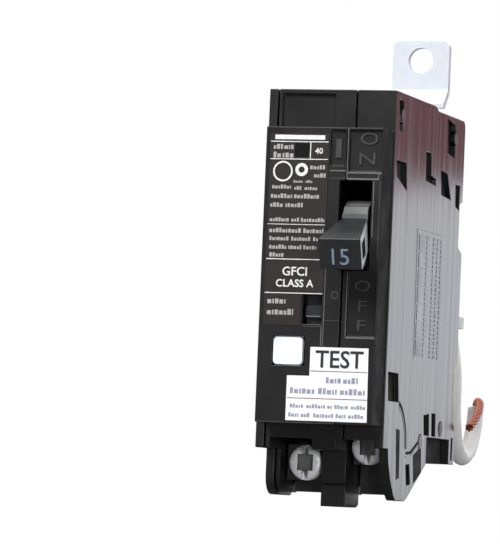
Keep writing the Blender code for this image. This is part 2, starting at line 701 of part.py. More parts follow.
TAIL_KNOTS = [
    (4.6, 8.8, 50.4), (7.4, 5.2, 42.8), (10.2, 3.5, 34.6), (11.3, 3.1, 27.0), (11.3, 3.4, 20.4),
    (11.3, 5.9, 14.4), (11.3, 11.2, 11.4), (11.3, 16.8, 12.9), (11.3, 20.6, 17.2), (11.3, 22.0, 21.6),
]
COPPER_KNOTS = [
    (11.35, 22.15, 22.4), (11.8, 21.5, 23.1), (12.9, 19.0, 22.5), (13.8, 14.8, 20.8),
    (14.2, 9.6, 18.7), (14.3, 5.4, 17.3),
]


def pigtail():
    x0 = COIL_X
    gland = turned([(1.95, 0), (2.2, 0), (2.2, 2.6), (2.95, 2.6), (2.95, 3.6), (1.95, 3.6)], "Z", (0, 0, 0), 24)
    gland.rotation_euler = (-math.pi / 2, 0, 0)
    gland.location = (x0 * MM, -5.4 * MM, WIRE_EXIT_Z * MM)
    adopt(gland, "wire_grommet", DARK)
    lead = [(x0, y, WIRE_EXIT_Z) for y in (-7.0, 0.0, 4.0, COIL_Y - 11.3)]
    adopt(tube(lead, WIRE_D), "pigtail_lead", WIRE)
    half = WIRE_D / 2 + 0.2
    low, high = x0 - half, x0 + COIL_TURNS * COIL_PITCH + half
    inner, outer = COIL_R - half, COIL_R + half
    ring = turned(
        [(inner, high - low), (outer, high - low), (outer, 0), (inner, 0)],
        "X", (low, COIL_Y, COIL_Z), 40,
    )
    adopt(ring, "pigtail_coil", WIRE)
    far = COIL_Y + COIL_R
    band = [rounded((low - e, far - half - e), (high + e, far + half + e), 0.8, 2) for e in (0.85, 0.35)]
    adopt(flat(band, COIL_Z - 1.2, COIL_Z + 1.2, "XY"), "coil_tie", TIE)
    adopt(tube(through(TAIL_KNOTS, 4), WIRE_D), "pigtail_tail", WIRE)
    adopt(tube(through(COPPER_KNOTS, 4), 1.8), "stripped_end", COPPER)


left_cover()
center_case()
right_cover()
rivets()
front_label()
test_button()
fault_flag()
handle()
line_tab()
contact_arm()
cradle()
trip_unit()
arc_chute()
terminals()
electronics()
pigtail()
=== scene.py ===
"""Looks of a one-pole ground-fault breaker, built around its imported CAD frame.

Points are given as they are in the CAD source: X is the width, -Y the front and Z the height
above the tip of the load end, all in millimetres. at() turns them into the frame's metres.
"""

import math

import bmesh
import bpy
from mathutils import Matrix, Vector


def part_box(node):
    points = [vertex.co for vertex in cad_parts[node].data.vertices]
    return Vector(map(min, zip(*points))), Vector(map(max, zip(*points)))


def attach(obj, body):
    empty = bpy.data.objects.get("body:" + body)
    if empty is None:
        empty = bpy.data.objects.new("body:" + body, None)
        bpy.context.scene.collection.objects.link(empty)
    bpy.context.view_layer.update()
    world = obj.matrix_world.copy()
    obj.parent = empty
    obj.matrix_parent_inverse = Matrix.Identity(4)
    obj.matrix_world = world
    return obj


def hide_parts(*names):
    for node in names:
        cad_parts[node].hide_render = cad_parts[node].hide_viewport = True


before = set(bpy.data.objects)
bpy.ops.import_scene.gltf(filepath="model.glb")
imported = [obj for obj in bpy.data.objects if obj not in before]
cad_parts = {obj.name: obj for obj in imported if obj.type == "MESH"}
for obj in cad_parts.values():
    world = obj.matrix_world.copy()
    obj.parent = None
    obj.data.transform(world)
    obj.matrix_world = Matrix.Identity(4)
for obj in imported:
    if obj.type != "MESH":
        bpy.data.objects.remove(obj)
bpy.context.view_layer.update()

MM = 0.001
SEAT_Z = 41.0
FACE_Y = -60.65
SHOULDER_Y = -53.5
SIDE_X = 12.7
HANDLE_X, HANDLE_Y, HANDLE_Z = 7.2, -52.4, 53.2
HANDLE_TILT = math.radians(20)
FINGER_END = 17.8


def at(x, y, z):
    """A point in millimetres above the load end's tip, in the frame's metres."""
    return Vector((x * MM, y * MM, (z - SEAT_Z) * MM))


# --- Materials -------------------------------------------------------------------------------


class Nodes:
    """A new material with helpers for its node tree."""

    def __init__(self, name, color, roughness, metallic=0.0):
        self.mat = bpy.data.materials.new(name)
        self.mat.use_nodes = True
        self.tree = self.mat.node_tree
        self.shader = self.tree.nodes["Principled BSDF"]
        self.shader.inputs["Roughness"].default_value = roughness
        self.shader.inputs["Metallic"].default_value = metallic
        self.shader.inputs["Base Color"].default_value = (*color, 1)
        self.coord = self.tree.nodes.new("ShaderNodeTexCoord").outputs["Object"]

    def stretched(self, scale):
        node = self.tree.nodes.new("ShaderNodeMapping")
        node.inputs["Scale"].default_value = scale
        self.tree.links.new(self.coord, node.inputs["Vector"])
        return node.outputs["Vector"]

    def noise(self, scale, detail, vector=None):
        node = self.tree.nodes.new("ShaderNodeTexNoise")
        node.inputs["Scale"].default_value = scale
        node.inputs["Detail"].default_value = detail
        node.inputs["Roughness"].default_value = 0.5
        self.tree.links.new(vector or self.coord, node.inputs["Vector"])
        return node.outputs["Fac"]

    def spread(self, value, low, high):
        """Maps the middle of a noise value's range to low..high."""
        node = self.tree.nodes.new("ShaderNodeMapRange")
        limits = {"From Min": 0.3, "From Max": 0.7, "To Min": low, "To Max": high}
        for name, number in limits.items():
            node.inputs[name].default_value = number
        self.tree.links.new(value, node.inputs["Value"])
        return node.outputs["Result"]

    def ramp(self, value, stops):
        node = self.tree.nodes.new("ShaderNodeValToRGB")
        for _ in stops[2:]:
            node.color_ramp.elements.new(0.5)
        for element, (place, color) in zip(node.color_ramp.elements, stops):
            element.position = place
            element.color = (*color, 1)
        self.tree.links.new(value, node.inputs["Fac"])
        return node.outputs["Color"]

    def color(self, value):
        self.tree.links.new(value, self.shader.inputs["Base Color"])

    def roughness(self, value):
        self.tree.links.new(value, self.shader.inputs["Roughness"])

    def bump(self, value, strength, distance):
        node = self.tree.nodes.new("ShaderNodeBump")
        node.inputs["Strength"].default_value = strength
        node.inputs["Distance"].default_value = distance
        previous = self.shader.inputs["Normal"]
        if previous.is_linked:
            self.tree.links.new(previous.links[0].from_socket, node.inputs["Normal"])
        self.tree.links.new(value, node.inputs["Height"])
        self.tree.links.new(node.outputs["Normal"], previous)


def shades(color, low, high):
    return [tuple(c * share for c in color) for share in (low, high)]


def plastic(name, color, roughness, grain=0.12, specular=0.5):
    """Moulded plastic: slight mottling, a fine grain and worn, shinier patches."""
    n = Nodes(name, color, roughness)
    n.shader.inputs["Specular IOR Level"].default_value = specular
    dark, light = shades(color, 0.75, 1.3)
    n.color(n.ramp(n.noise(90, 4), [(0.3, dark), (0.7, light)]))
    n.roughness(n.spread(n.noise(160, 5), roughness * 0.85, roughness * 1.2))
    n.bump(n.noise(2600, 2), grain, 0.00002)
    return n.mat


def side_plastic():
    """The outer side: glossier, with faint vertical flow lines left by the mould."""
    n = Nodes("side_plastic", SIDE_BLACK, 0.16)
    dark, light = shades(SIDE_BLACK, 0.6, 1.5)
    streaks = n.noise(1.0, 4, n.stretched((300, 520, 9)))
    n.color(n.ramp(streaks, [(0.3, dark), (0.7, light)]))
    n.roughness(n.spread(streaks, 0.13, 0.26))
    n.bump(n.noise(1.0, 3, n.stretched((300, 620, 12))), 0.32, 0.00004)
    n.bump(n.noise(2200, 2), 0.05, 0.00002)
    return n.mat


def metal(name, color, roughness, brushed=(900, 900, 60), share=1.0):
    """Plated or bare metal with a directional polish and cloudy variation."""
    n = Nodes(name, color, roughness, share)
    dark, light = shades(color, 0.82, 1.08)
    n.color(n.ramp(n.noise(260, 4), [(0.3, dark), (0.75, light)]))
    lines = n.noise(1.0, 3, n.stretched(brushed))
    n.roughness(n.spread(lines, roughness * 0.7, roughness * 1.35))
    n.bump(lines, 0.15, 0.00002)
    return n.mat


def spangle():
    """Galvanised sheet: pale blue-white crystals with soft borders."""
    n = Nodes("galvanised", GALVANISED, 0.5, 0.25)
    cells = n.tree.nodes.new("ShaderNodeTexVoronoi")
    cells.inputs["Scale"].default_value = 900
    n.tree.links.new(n.coord, cells.inputs["Vector"])
    separate = n.tree.nodes.new("ShaderNodeSeparateColor")
    n.tree.links.new(cells.outputs["Color"], separate.inputs["Color"])
    dark, light = shades(GALVANISED, 0.95, 1.0)
    n.color(n.ramp(separate.outputs["Red"], [(0.0, dark), (1.0, light)]))
    n.roughness(n.spread(n.noise(700, 4), 0.45, 0.6))
    n.bump(n.noise(1500, 3), 0.12, 0.00003)
    return n.mat


def printed(name, color, roughness, mottle=0.12):
    """Ink or film with uneven density."""
    n = Nodes(name, color, roughness)
    dark, light = shades(color, 1 - mottle, 1 + mottle)
    n.color(n.ramp(n.noise(1900, 4), [(0.3, dark), (0.7, light)]))
    n.bump(n.noise(2400, 2), 0.08, 0.00001)
    return n.mat


def insulation():
    """White wire covering: soft sheen, faint ribs along the strands and a little soiling."""
    n = Nodes("insulation", WIRE_WHITE, 0.42)
    n.shader.inputs["Subsurface Weight"].default_value = 0.08
    n.shader.inputs["Subsurface Radius"].default_value = (0.001, 0.0008, 0.0006)
    dark = tuple(a * b for a, b in zip(WIRE_WHITE, (0.86, 0.85, 0.8)))
    n.color(n.ramp(n.noise(210, 5), [(0.25, dark), (0.6, WIRE_WHITE)]))
    n.roughness(n.spread(n.noise(900, 3), 0.34, 0.52))
    n.bump(n.noise(1300, 3), 0.12, 0.00003)
    return n.mat


SIDE_BLACK = (0.012, 0.011, 0.013)
GALVANISED = (0.68, 0.71, 0.77)
WIRE_WHITE = (0.90, 0.90, 0.87)
COPPER = (0.38, 0.11, 0.055)

CASE = plastic("case_black", (0.0075, 0.0072, 0.0072), 0.42, specular=0.4)
SIDE = side_plastic()
MECHANISM = plastic("handle_black", (0.011, 0.012, 0.013), 0.42)
# Near-black for painted shade in recesses, grooves and pockets, and for a dark printed patch on the
# label.
SHADE_AND_PRINT_BLACK = plastic("painted_shade_and_print_black", (0.0035, 0.0032, 0.003), 0.7, specular=0.2)
# Grey that stands for light caught by edges: painted highlight lines.
EDGE_HIGHLIGHT = plastic("painted_edge_highlight", (0.15, 0.148, 0.145), 0.4)
# Dark grey a little lighter than the case: painted faint highlights on fine ridges, letters and the
# hub's steps.
FAINT_HIGHLIGHT = plastic("painted_faint_highlight", (0.042, 0.041, 0.040), 0.45)
# Pale grey: painted highlight around the side of the handle's finger.
RING_HIGHLIGHT = plastic("painted_ring_highlight", (0.62, 0.63, 0.66), 0.4)
# Light grey: painted highlight on the side's ridges and raised bars.
SIDE_HIGHLIGHT = plastic("side_lettering_painted_highlight", (0.26, 0.26, 0.29), 0.35)
FILM = printed("label_film", (0.0125, 0.0072, 0.0068), 0.5)
INK = printed("pale_ink", (0.80, 0.79, 0.78), 0.55)
FAINT_INK = printed("grey_ink", (0.40, 0.39, 0.385), 0.55)
# Dark steel: painted shade on lugs, clamps and straps deep in the terminal chambers, and on rivets
# in their pockets.
SHADE_DARK_STEEL = metal("steel_painted_shade_dark", (0.075, 0.07, 0.068), 0.4)
PAPER = printed("sticker_paper", (0.92, 0.92, 0.93), 0.5, 0.02)
BLACK_INK = printed("black_ink", (0.02, 0.02, 0.03), 0.5)
GREY_INK = printed("sticker_grey_ink", (0.30, 0.32, 0.40), 0.5)
DIAL_INK = printed("dial_ink", (0.19, 0.27, 0.34), 0.5)
BUTTON = plastic("button_white", (0.80, 0.83, 0.90), 0.35, 0.06)
ZINC = metal("zinc_plate", (0.95, 0.95, 0.95), 0.4, share=0.15)
# Darker steel: painted shade in the screws' recesses.
RECESS_SHADE = metal("recess_steel_painted_shade", (0.22, 0.23, 0.21), 0.45, share=0.5)
TAB = spangle()
STEEL = metal("spring_steel", (0.62, 0.62, 0.64), 0.3)
COPPER_METAL = metal("copper_metal", COPPER, 0.34, (700, 700, 700))
SILVER = metal("silver_pad", (0.86, 0.85, 0.83), 0.25)
FIBRE = printed("grey_fibre", (0.42, 0.40, 0.37), 0.85, 0.25)
BOARD = plastic("board_green", (0.04, 0.2, 0.09), 0.4)
FERRITE = plastic("toroid_coat", (0.08, 0.11, 0.18), 0.45)
TAPE = printed("winding_tape", (0.72, 0.52, 0.1), 0.4, 0.15)
EPOXY = plastic("black_epoxy", (0.018, 0.018, 0.018), 0.5)
BLUE = plastic("blue_coat", (0.05, 0.16, 0.5), 0.35)
WIRE = insulation()
NYLON = plastic("tie_nylon", (0.78, 0.78, 0.73), 0.45, 0.08)


# --- Mesh helpers ----------------------------------------------------------------------------


def finished(obj, name, mat, body, replaces=()):
    """Gives a piece its name, material and body, and hides the CAD nodes it replaces."""
    obj.name = name
    obj.data.name = name
    obj.data.materials.clear()
    obj.data.materials.append(mat)
    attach(obj, body)
    if replaces:
        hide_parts(*replaces)
    return obj


def object_from(mesh, name="piece"):
    obj = bpy.data.objects.new(name, mesh)
    bpy.context.scene.collection.objects.link(obj)
    return obj


def mesh_from(verts, faces):
    mesh = bpy.data.meshes.new("piece")
    mesh.from_pydata([tuple(v) for v in verts], [], faces)
    bm = bmesh.new()
    bm.from_mesh(mesh)
    bmesh.ops.recalc_face_normals(bm, faces=bm.faces)
    bm.to_mesh(mesh)
    bm.free()
    return mesh


PLANES = {
    "XZ": lambda a, b, c: at(a, c, b),
    "YZ": lambda a, b, c: at(c, a, b),
}


def prism(outline, low, high, plane):
    """Verts and faces of an outline drawn in a plane and extruded along the third axis."""
    place = PLANES[plane]
    count = len(outline)
    verts = [place(a, b, level) for level in (low, high) for a, b in outline]
    faces = [tuple(range(count)), tuple(range(2 * count - 1, count - 1, -1))]
    faces += [(i, (i + 1) % count, (i + 1) % count + count, i + count) for i in range(count)]
    return verts, faces


def ringed(centre, outer, inner, low, high):
    """Verts and faces of a flat ring that faces the front."""
    steps = 40
    verts = []
    for i in range(steps):
        a = math.radians(360 * i / steps)
        for radius, level in ((outer, low), (outer, high), (inner, high), (inner, low)):
            first = centre[0] + radius * math.cos(a)
            verts.append(at(first, level, centre[1] + radius * math.sin(a)))
    faces = []
    for i in range(steps):
        j = (i + 1) % steps
        faces += [(4 * i + k, 4 * i + (k + 1) % 4, 4 * j + (k + 1) % 4, 4 * j + k) for k in range(4)]
    return verts, faces


def merged(shapes):
    """One mesh from several (verts, faces) shapes."""
    verts, faces = [], []
    for some, more in shapes:
        base = len(verts)
        verts += some
        faces += [tuple(i + base for i in face) for face in more]
    return mesh_from(verts, faces)


def rect(x0, z0, x1, z1):
    return [(x0, z0), (x1, z0), (x1, z1), (x0, z1)]


def bevelled(obj, width):
    mod = obj.modifiers.new("bevel", "BEVEL")
    mod.width = width * MM
    mod.segments = 2
    mod.limit_method = "ANGLE"
    mod.angle_limit = math.radians(40)
    mod.use_clamp_overlap = False
    mod.loop_slide = False
    mod.harden_normals = False
    obj.data.shade_smooth()
    obj.data.set_sharp_from_angle(angle=math.radians(35))
    even = obj.modifiers.new("even", "WEIGHTED_NORMAL")
    even.keep_sharp = True
    even.weight = 100
    return obj


def cleaned(node):
    """A copy of a CAD node's mesh, its flat faces joined and cut again into fewer triangles."""
    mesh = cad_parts[node].data.copy()
    bm = bmesh.new()
    bm.from_mesh(mesh)
    bmesh.ops.remove_doubles(bm, verts=bm.verts, dist=2e-6)
    bmesh.ops.dissolve_limit(bm, angle_limit=math.radians(0.6), verts=bm.verts, edges=bm.edges)
    bmesh.ops.triangulate(bm, faces=[face for face in bm.faces if len(face.verts) > 4])
    bm.to_mesh(mesh)
    bm.free()
    mesh.materials.clear()
    return object_from(mesh)


def subtract(obj, verts, faces):
    """Cuts a shape out of obj and applies the cut."""
    tool = object_from(mesh_from(verts, faces))
    mod = obj.modifiers.new("cut", "BOOLEAN")
    mod.operation = "DIFFERENCE"
    mod.solver = "EXACT"
    mod.object = tool
    graph = bpy.context.evaluated_depsgraph_get()
    made = bpy.data.meshes.new_from_object(obj.evaluated_get(graph))
    obj.modifiers.clear()
    obj.data = made
    bpy.data.objects.remove(tool)
    return obj


def refined(node, mat, width, body):
    """A bevelled copy of a CAD node, which it replaces."""
    obj = bevelled(cleaned(node), width)
    return finished(obj, f"{node}_shell", mat, body, (node,))


def lettering(text, size, x, z, y, thick=0.05, stretch=1.0, weight=0.0, turn=None):
    """Raised letters as (verts, faces), centred on x and standing on z, on a plane facing the front.

    turn, when given, places each point instead, from its offsets across, up and outwards.
    """
    curve = bpy.data.curves.new("text", "FONT")
    curve.body = text
    curve.size = size
    curve.extrude = thick / 2
    curve.offset = weight
    curve.align_x = "CENTER"
    curve.resolution_u = 3
    obj = bpy.data.objects.new("text", curve)
    bpy.context.scene.collection.objects.link(obj)
    mesh = bpy.data.meshes.new_from_object(obj.evaluated_get(bpy.context.evaluated_depsgraph_get()))
    bpy.data.objects.remove(obj)
    verts = []
    for vertex in mesh.vertices:
        a, b, c = vertex.co
        a *= stretch
        verts.append(turn(a, b, c) if turn else at(x + a, y - c, z + b))
    faces = [tuple(face.vertices) for face in mesh.polygons]
    bpy.data.meshes.remove(mesh)
    return verts, faces


# --- Camera, light and floor -----------------------------------------------------------------


def camera():
    azimuth, pitch, roll = 0.3013, 0.0559, 0.0427
    ca, sa, cp, sp = math.cos(azimuth), math.sin(azimuth), math.cos(pitch), math.sin(pitch)
    right = Vector((ca, sa, 0))
    forward = Vector((-sa * cp, ca * cp, sp))
    up = right.cross(forward)
    side = math.cos(roll) * right + math.sin(roll) * up
    top = -math.sin(roll) * right + math.cos(roll) * up
    data = bpy.data.cameras.new("camera")
    data.lens = 291.93
    data.clip_start, data.clip_end = 0.05, 30
    obj = bpy.data.objects.new("camera", data)
    place = Vector((0.23844, -0.86947, -0.04517))
    obj.matrix_world = Matrix((
        (side.x, top.x, -forward.x, place.x),
        (side.y, top.y, -forward.y, place.y),
        (side.z, top.z, -forward.z, place.z),
        (0, 0, 0, 1),
    ))
    bpy.context.scene.collection.objects.link(obj)
    bpy.context.scene.camera = obj


def area_light(name, place, aim, size, power):
    data = bpy.data.lights.new(name, "AREA")
    data.shape = "RECTANGLE"
    data.size, data.size_y = size
    data.energy = power
    obj = bpy.data.objects.new(name, data)
    obj.location = place
    obj.rotation_euler = (Vector(aim) - Vector(place)).to_track_quat("-Z", "Y").to_euler()
    bpy.context.scene.collection.objects.link(obj)


def dark_card():
    """A dark maroon card behind the object, which the glossy side mirrors near its top."""
    n = Nodes("dark_card", (0.02, 0.01, 0.012), 0.9)
    n.shader.inputs["Emission Color"].default_value = (0.42, 0.10, 0.15, 1)
    n.shader.inputs["Emission Strength"].default_value = 1.0
    tone = n.ramp(
        n.noise(1.0, 3, n.stretched((90, 1, 4))),
        [(0.3, (0.27, 0.15, 0.15)), (0.7, (0.50, 0.09, 0.13))],
    )
    n.tree.links.new(tone, n.shader.inputs["Emission Color"])
    x0, x1, y, z0, z1 = 40 * MM, 130 * MM, 210 * MM, 42 * MM, 150 * MM
    corners = [(x0, y, z0), (x1, y, z0), (x1, y, z1), (x0, y, z1)]
    card = object_from(mesh_from(corners, [(0, 1, 2, 3)]), "dark_card")
    card.data.materials.append(n.mat)
    card.visible_camera = False
    card.visible_diffuse = False
    card.visible_shadow = False


def studio():
    """White surroundings seen directly, and a softer, uneven room for light and reflections."""
    bpy.context.scene.view_settings.view_transform = "Standard"
    world = bpy.data.worlds.new("room")
    world.use_nodes = True
    tree = world.node_tree
    tree.nodes.clear()
    link = tree.links.new
    coord = tree.nodes.new("ShaderNodeTexCoord")
    split = tree.nodes.new("ShaderNodeSeparateXYZ")
    link(coord.outputs["Generated"], split.inputs["Vector"])
    depth = tree.nodes.new("ShaderNodeMapRange")
    depth.inputs["From Min"].default_value = -0.2
    depth.inputs["From Max"].default_value = 0.9
    depth.inputs["To Min"].default_value = 0.13
    depth.inputs["To Max"].default_value = 1.75
    link(split.outputs["Y"], depth.inputs["Value"])
    glow = tree.nodes.new("ShaderNodeBackground")
    link(depth.outputs["Result"], glow.inputs["Strength"])
    glow.inputs["Color"].default_value = (0.93, 0.94, 1.0, 1)
    plain = tree.nodes.new("ShaderNodeBackground")
    plain.inputs["Color"].default_value = (1, 1, 1, 1)
    plain.inputs["Strength"].default_value = 1.0
    path = tree.nodes.new("ShaderNodeLightPath")
    mix = tree.nodes.new("ShaderNodeMixShader")
    link(path.outputs["Is Camera Ray"], mix.inputs["Fac"])
    link(glow.outputs["Background"], mix.inputs[1])
    link(plain.outputs["Background"], mix.inputs[2])
    out = tree.nodes.new("ShaderNodeOutputWorld")
    link(mix.outputs["Shader"], out.inputs["Surface"])
    bpy.context.scene.world = world

    area_light("key", (-0.35, -0.75, 0.75), (0, 0, 0), (0.5, 0.5), 13)
    area_light("side_fill", (0.5, -0.87, 0.02), (0, 0, -0.03), (0.25, 0.15), 3)
    area_light("top", (0.05, 0.0, 0.9), (0, 0, 0), (0.6, 0.6), 6)
    dark_card()

    n = Nodes("floor_white", (0.9, 0.9, 0.9), 0.9)
    n.color(n.ramp(n.noise(3, 2), [(0.0, (0.88, 0.88, 0.88)), (1.0, (0.92, 0.92, 0.92))]))
    n.shader.inputs["Emission Color"].default_value = (1, 1, 1, 1)
    n.shader.inputs["Emission Strength"].default_value = 0.7
    dim = n.tree.nodes.new("ShaderNodeBsdfDiffuse")
    dim.inputs["Color"].default_value = (0.16, 0.16, 0.17, 1)
    seen = n.tree.nodes.new("ShaderNodeLightPath")
    either = n.tree.nodes.new("ShaderNodeMixShader")
    n.tree.links.new(seen.outputs["Is Camera Ray"], either.inputs["Fac"])
    n.tree.links.new(dim.outputs["BSDF"], either.inputs[1])
    n.tree.links.new(n.shader.outputs["BSDF"], either.inputs[2])
    n.tree.links.new(either.outputs["Shader"], n.tree.nodes["Material Output"].inputs["Surface"])
    side, level = 3.0, -0.0525
    floor = object_from(mesh_from(
        [(-side, -side, level), (side, -side, level), (side, side, level), (-side, side, level)],
        [(0, 1, 2, 3)],
    ), "floor")
    floor.data.materials.append(n.mat)


camera()
studio()


# --- Pigtail ---------------------------------------------------------------------------------

WIRE_D = 3.3
COIL_X, COIL_Y, COIL_Z = -7.6, 20.6, 40.0
COIL_R = 16.5
COIL_TURNS = 2.5
COIL_PITCH = 3.4
WIRE_EXIT_Z = COIL_Z - COIL_R
TAIL_KNOTS = [
    (4.6, 8.8, 50.4), (7.4, 5.2, 42.8), (10.2, 3.5, 34.6), (11.3, 3.1, 27.0),
    (11.3, 3.4, 20.4), (11.3, 5.9, 14.4), (11.3, 11.2, 11.4), (11.3, 16.8, 12.9),
    (11.3, 20.6, 17.2), (11.3, 22.0, 21.6),
]
COPPER_KNOTS = [
    (11.35, 22.15, 22.4), (11.8, 21.5, 23.1), (12.9, 19.0, 22.5), (13.8, 14.8, 20.8),
    (14.2, 9.6, 18.7), (14.3, 5.4, 17.3),
]


def helix_point(turn):
    a = 2 * math.pi * turn
    y, z = COIL_Y + COIL_R * math.sin(a), COIL_Z - COIL_R * math.cos(a)
    return (COIL_X + COIL_PITCH * turn, y, z)


def through(knots, per_span):
    """A smooth curve through every knot, as points."""
    knots = [Vector(k) for k in knots]
    padded = [2 * knots[0] - knots[1], *knots, 2 * knots[-1] - knots[-2]]
    points = []
    for a, b, c, d in zip(padded, padded[1:], padded[2:], padded[3:]):
        for i in range(per_span):
            t = i / per_span
            points.append(
                0.5 * (2 * b + (c - a) * t + (2 * a - 5 * b + 4 * c - d) * t * t
                       + (3 * b - a - 3 * c + d) * t ** 3)
            )
    return points + [knots[-1]]


def wire_curve(points, diameter, name):
    curve = bpy.data.curves.new(name, "CURVE")
    curve.dimensions = "3D"
    curve.bevel_depth = diameter / 2 * MM
    curve.bevel_resolution = 5
    curve.use_fill_caps = True
    spline = curve.splines.new("POLY")
    spline.points.add(len(points) - 1)
    for point, place in zip(spline.points, points):
        point.co = (*at(*place), 1)
    spline.use_smooth = True
    obj = bpy.data.objects.new(name, curve)
    bpy.context.scene.collection.objects.link(obj)
    return obj


def pigtail():
    lead = [(COIL_X, y, WIRE_EXIT_Z) for y in (-7.0, -3.0, 1.0, 5.0, 9.0, 13.0, 17.0)]
    steps = 24
    coil = [helix_point(i / steps) for i in range(int(COIL_TURNS * steps) + 1)]
    bridge = through([coil[-1], (1.9, 14.6, 55.2), *TAIL_KNOTS], 6)
    route = lead + coil + bridge[1:]
    obj = wire_curve(route, WIRE_D, "pigtail_wire")
    finished(
        obj, "pigtail_wire", WIRE, "case",
        ("pigtail_lead", "pigtail_coil", "pigtail_tail"),
    )
    copper = stripped_strands()
    return route


def stripped_strands():
    """The bared end: seven strands twisted into one lay."""
    centre = through(COPPER_KNOTS, 10)
    strand, ring = 0.6, 0.58
    shapes = []
    for k in range(7):
        points = []
        for i, place in enumerate(centre):
            ahead = centre[min(i + 1, len(centre) - 1)] - centre[max(i - 1, 0)]
            ahead.normalize()
            u = ahead.cross(Vector((0, 0, 1))).normalized()
            v = ahead.cross(u)
            a = 2 * math.pi * (k / 6) + 0.22 * i
            off = 0 if k == 6 else ring
            points.append(place + off * (math.cos(a) * u + math.sin(a) * v))
        tube = wire_curve(points, strand, "strand")
        tube.data.bevel_resolution = 3
        graph = bpy.context.evaluated_depsgraph_get()
        mesh = bpy.data.meshes.new_from_object(tube.evaluated_get(graph))
        faces = [tuple(face.vertices) for face in mesh.polygons]
        shapes.append(([vertex.co.copy() for vertex in mesh.vertices], faces))
        bpy.data.objects.remove(tube)
    obj = object_from(merged(shapes))
    obj.data.shade_smooth()
    return finished(obj, "copper_strands", COPPER_METAL, "case", ("stripped_end",))


pigtail()


# --- Housing ---------------------------------------------------------------------------------


def faced(obj, mat, chosen):
    """Gives the chosen faces another material."""
    obj.data.materials.append(mat)
    index = len(obj.data.materials) - 1
    for face in obj.data.polygons:
        if chosen(face.center / MM, face.normal):
            face.material_index = index
    return obj


FACE_BEVEL, COVER_BEVEL = 0.14, 0.22


def housing():
    refined("center_case", CASE, FACE_BEVEL, "case")
    left = refined("left_cover", CASE, COVER_BEVEL, "case")
    faced(left, SIDE, lambda c, n: n.x < -0.9 and c.x < -SIDE_X + 0.05)
    right = refined("right_cover", CASE, FACE_BEVEL, "case")
    faced(right, SIDE, lambda c, n: n.x > 0.9 and c.x > SIDE_X - 0.05)
    # Painted shade: the side's recessed faces and the raised face's side wall are darkened.
    faced(right, SHADE_AND_PRINT_BLACK, lambda c, n: n.x > 0.9 and (11.2 < c.x < 12.2 or c.y < SHOULDER_Y - 0.2))


def raised_bars(bars, y, thick):
    """Bars (x0, z0, x1, z1) standing out of a plane that faces the front."""
    return [prism(rect(*bar), y + 0.02, y - thick, "XZ") for bar in bars]


def line_bars(points, width):
    """A line of short bars on the right side, through (y, z) points."""
    shapes = []
    for (y0, z0), (y1, z1) in zip(points, points[1:]):
        length = math.hypot(y1 - y0, z1 - z0) or 1
        ny, nz = -(z1 - z0) / length * width / 2, (y1 - y0) / length * width / 2
        outline = [
            (y0 + ny, z0 + nz), (y1 + ny, z1 + nz), (y1 - ny, z1 - nz), (y0 - ny, z0 - nz),
        ]
        shapes.append(prism(outline, SIDE_X - 0.02, SIDE_X + 0.06, "YZ"))
    return shapes


BOSS_Y, BOSS_Z = -46.4, 12.0


def boss_arc(ry, rz, start, stop):
    """Points (y, z) of an arc round the lower ear's boss, start and stop in degrees."""
    steps = 14
    points = []
    for i in range(steps + 1):
        a = math.radians(start + (stop - start) * i / steps)
        points.append((BOSS_Y + ry * math.cos(a), BOSS_Z + rz * math.sin(a)))
    return points


COLUMN_LOW_Z, COLUMN_HIGH = 30.0, 24.0
MARK_GAP = 0.32


def side_details():
    """Moulded marks of the right side: painted shade in the ear's boss groove, the grooves and
    patches, and painted highlights on ridges and raised plain bars.
    """
    # Painted shade: flat dark strips and patches where the boss's groove, a groove and two hollows
    # fall into shade.
    dark = line_bars(boss_arc(9.2, 9.0, 68, -2), 0.75)
    dark += line_bars([(-36.9, 10.9), (-33.5, 11.1), (-25.6, 14.3)], 0.55)
    for patch in (
        [(-31.4, 10.6), (-25.7, 12.6), (-25.0, 7.4), (-30.4, 5.2)],
        [(-44.6, 15.4), (-41.9, 15.2), (-41.2, 6.0), (-43.4, 5.6)],
    ):
        dark.append(prism(patch, SIDE_X - 0.02, SIDE_X + 0.03, "YZ"))
    finished(object_from(merged(dark)), "side_groove_painted_shade", SHADE_AND_PRINT_BLACK, "case")
    # Painted highlights: light strips beside the dark ones, along the boss, the groove and a panel's
    # edges.
    light = line_bars(boss_arc(8.5, 8.3, 66, 0), 0.3)
    light += line_bars([(-37.2, 10.2), (-33.4, 10.4), (-25.3, 13.7)], 0.28)
    light += line_bars([(-34.4, 54.6), (-13.4, 54.6)], 0.22)
    light += line_bars([(-34.6, 54.6), (-33.9, 29.4)], 0.3)
    finished(object_from(merged(light)), "side_ridge_painted_highlights", SIDE_HIGHLIGHT, "case")
    # Raised bars stand for the side's lettering; their light grey is painted highlight.
    columns = []
    for y0, y1, marks in (
        (-33.0, -29.2, [3.0] * 7),
        (-27.4, -25.4, [0.7, 0.5, 0.9, 0.6] * 6),
        (-22.4, -20.6, [0.5, 0.8, 0.6] * 9),
        (-19.4, -18.0, [0.9, 0.5, 0.6] * 9),
        (-16.6, -15.2, [0.6, 0.9] * 12),
    ):
        unit = (COLUMN_HIGH - MARK_GAP * len(marks)) / sum(marks)
        z = COLUMN_LOW_Z
        for mark in marks:
            tall = mark * unit
            columns.append(prism(rect(y0, z, y1, z + tall), SIDE_X - 0.02, SIDE_X + 0.08, "YZ"))
            z += tall + MARK_GAP
    finished(object_from(merged(columns)), "side_raised_bars", SIDE_HIGHLIGHT, "case")


